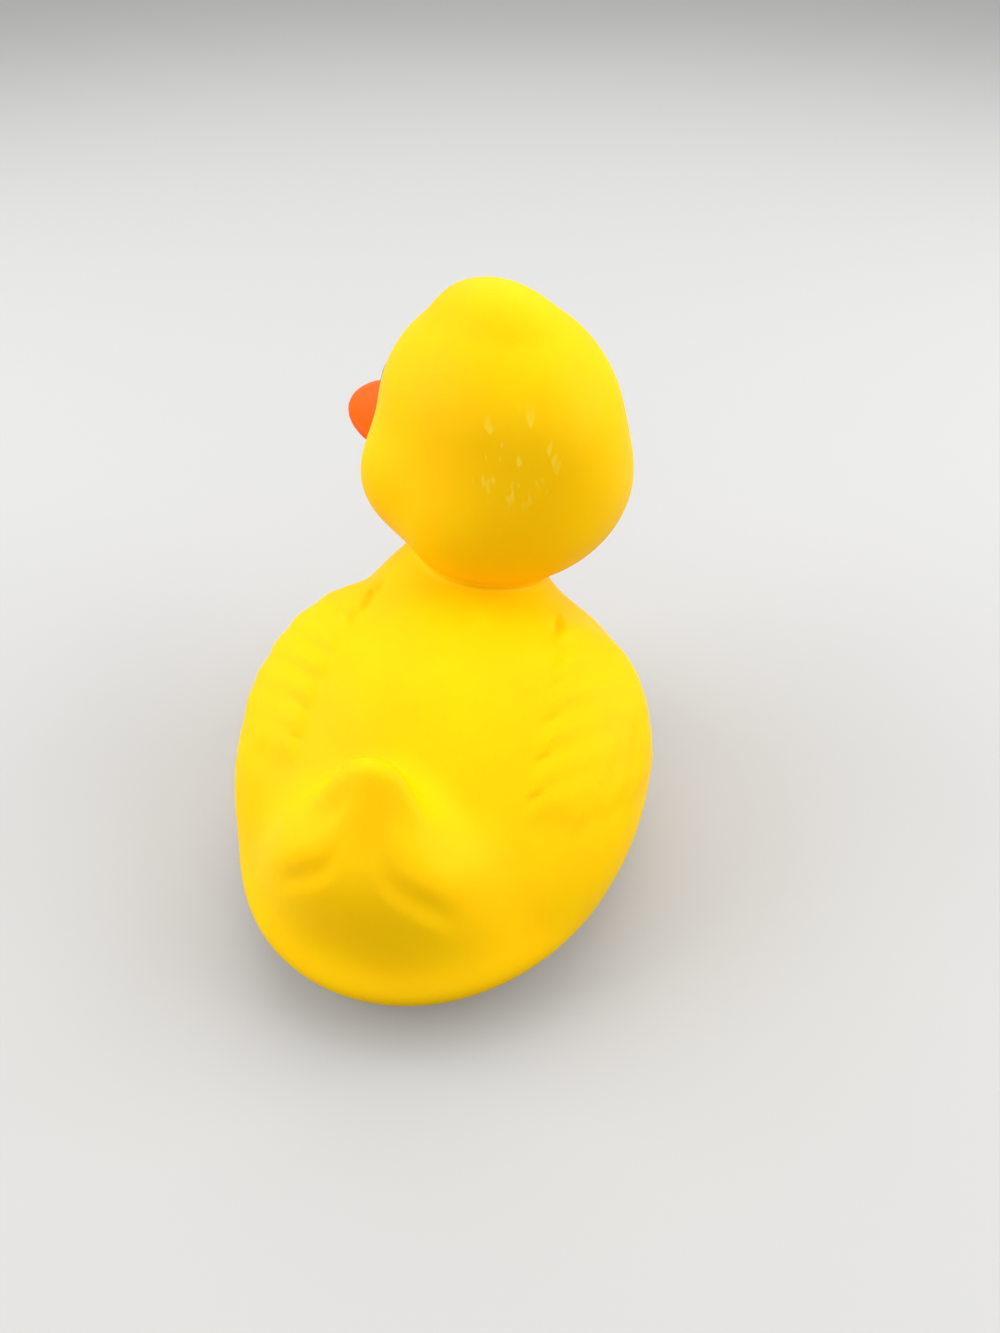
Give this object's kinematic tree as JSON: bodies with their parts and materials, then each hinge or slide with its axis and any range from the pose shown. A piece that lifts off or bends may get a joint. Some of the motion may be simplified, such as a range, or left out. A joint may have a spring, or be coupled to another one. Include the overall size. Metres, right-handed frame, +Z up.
{
  "type": "rubber duck",
  "caption": "Yellow vinyl bath duck with feathered wings, an upturned tail, its head turned left and a squeaker in its base.",
  "frame": {"origin": "on the floor under the middle of the duck's outline", "axes": "+X the way the body faces, +Y the duck's left, +Z up"},
  "size_m": [0.0988, 0.0696, 0.0887],
  "materials": {
    "vinyl": "satin",
    "squeaker_plastic": "matte"
  },
  "bodies": {
    "root": {"duck_body": "vinyl", "squeaker_case": "squeaker_plastic", "squeaker_reed_seat": "squeaker_plastic", "squeaker_reed": "squeaker_plastic"}
  },
  "joints": []
}
